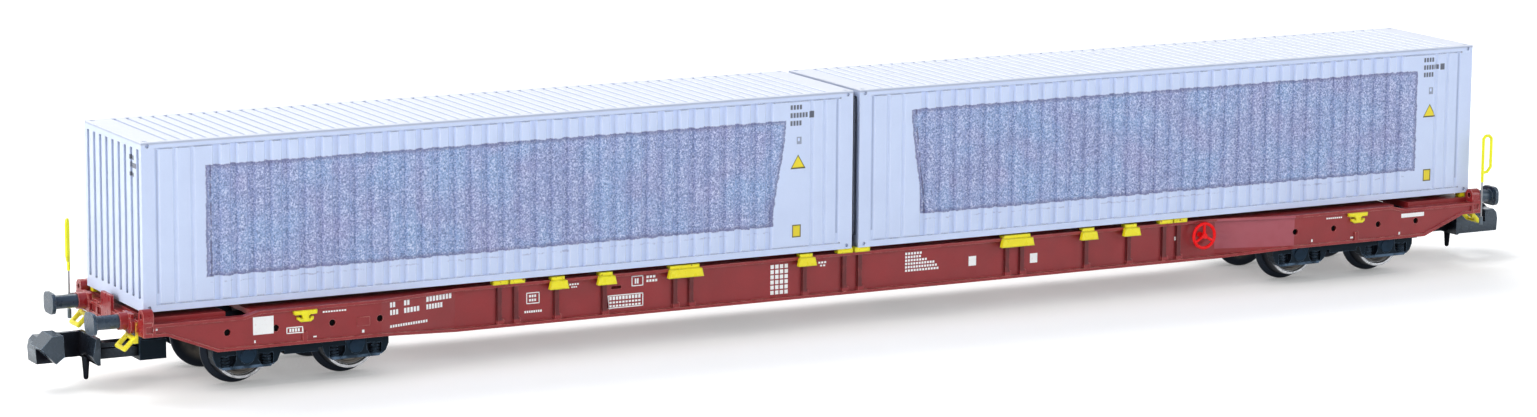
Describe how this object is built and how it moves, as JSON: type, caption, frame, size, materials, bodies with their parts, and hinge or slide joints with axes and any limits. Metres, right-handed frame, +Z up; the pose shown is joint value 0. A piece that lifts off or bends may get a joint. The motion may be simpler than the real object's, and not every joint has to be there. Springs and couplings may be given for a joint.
{
  "type": "model container flat wagon",
  "caption": "Scale model of a bogie container flat wagon: kinked channel sills, swivelling bogies, free wheelsets, hook couplings, and corrugated containers that lift off.",
  "frame": {"origin": "on the floor under the middle of the wagon, which stands on its wheel flanges", "axes": "+X along the wagon towards its front end, +Y to its left, +Z up"},
  "size_m": [0.17, 0.0188, 0.0245],
  "materials": {
    "frame": "satin",
    "buffer": "satin",
    "fitting": "matte",
    "handrail": "matte",
    "brake_wheel": "matte",
    "running_gear": "matte",
    "wheel": "blackened",
    "steel": "bright",
    "container": "satin",
    "container_floor": "matte"
  },
  "bodies": {
    "wagon": {"side_sill_right": "frame", "side_sill_left": "frame", "centre_frame": "frame", "headstock_rear": "frame", "headstock_front": "frame", "buffer_rear_right": "buffer", "buffer_rear_left": "buffer", "buffer_front_right": "buffer", "buffer_front_left": "buffer", "container_spigots": "fitting", "folded_spigots_right": "fitting", "folded_spigots_left": "fitting", "lifting_brackets_right": "fitting", "lifting_brackets_left": "fitting", "brake_wheel_right": "brake_wheel", "brake_wheel_left": "brake_wheel", "shunter_handles_rear": "fitting", "shunter_handles_front": "fitting", "handrail_rear_left": "handrail", "handrail_front_right": "handrail", "air_tanks": "running_gear", "bogie_pin_rear": "steel", "bogie_pin_front": "steel", "coupler_mount_rear": "running_gear", "coupler_mount_front": "running_gear"},
    "bogie_rear": {"bogie_frame_rear": "running_gear"},
    "bogie_front": {"bogie_frame_front": "running_gear"},
    "wheelset_1": {"axle_1": "steel", "wheels_1": "wheel"},
    "wheelset_2": {"axle_2": "steel", "wheels_2": "wheel"},
    "wheelset_3": {"axle_3": "steel", "wheels_3": "wheel"},
    "wheelset_4": {"axle_4": "steel", "wheels_4": "wheel"},
    "coupling_rear": {"coupler_socket_rear": "running_gear", "coupling_rear": "running_gear"},
    "coupling_front": {"coupler_socket_front": "running_gear", "coupling_front": "running_gear"},
    "container_rear": {"container_rear_shell": "container", "container_rear_floor": "container_floor"},
    "container_front": {"container_front_shell": "container", "container_front_floor": "container_floor"}
  },
  "joints": [
    {"name": "bogie_rear_swivel", "type": "hinge", "parent": "wagon", "child": "bogie_rear", "pos_m": [-0.0605, 0, 0.0055], "axis": [0, 0, -1], "range_deg": [-15, 15]},
    {"name": "bogie_front_swivel", "type": "hinge", "parent": "wagon", "child": "bogie_front", "pos_m": [0.0605, 0, 0.0055], "axis": [0, 0, 1], "range_deg": [-15, 15]},
    {"name": "wheelset_1_spin", "type": "hinge", "parent": "bogie_rear", "child": "wheelset_1", "pos_m": [-0.06613, 0, 0.0035], "axis": [0, 1, 0], "continuous": true},
    {"name": "wheelset_2_spin", "type": "hinge", "parent": "bogie_rear", "child": "wheelset_2", "pos_m": [-0.05488, 0, 0.0035], "axis": [0, 1, 0], "continuous": true},
    {"name": "wheelset_3_spin", "type": "hinge", "parent": "bogie_front", "child": "wheelset_3", "pos_m": [0.05488, 0, 0.0035], "axis": [0, 1, 0], "continuous": true},
    {"name": "wheelset_4_spin", "type": "hinge", "parent": "bogie_front", "child": "wheelset_4", "pos_m": [0.06613, 0, 0.0035], "axis": [0, 1, 0], "continuous": true},
    {"name": "coupling_rear_swing", "type": "hinge", "parent": "wagon", "child": "coupling_rear", "pos_m": [-0.0733, 0, 0.0034], "axis": [0, 0, -1], "range_deg": [-12, 12]},
    {"name": "coupling_front_swing", "type": "hinge", "parent": "wagon", "child": "coupling_front", "pos_m": [0.0733, 0, 0.0034], "axis": [0, 0, 1], "range_deg": [-12, 12]},
    {"name": "container_rear_lift_off", "type": "slide", "parent": "wagon", "child": "container_rear", "axis": [0, 0, 1], "range_m": [0, 0.03]},
    {"name": "container_front_lift_off", "type": "slide", "parent": "wagon", "child": "container_front", "axis": [0, 0, 1], "range_m": [0, 0.03]}
  ]
}
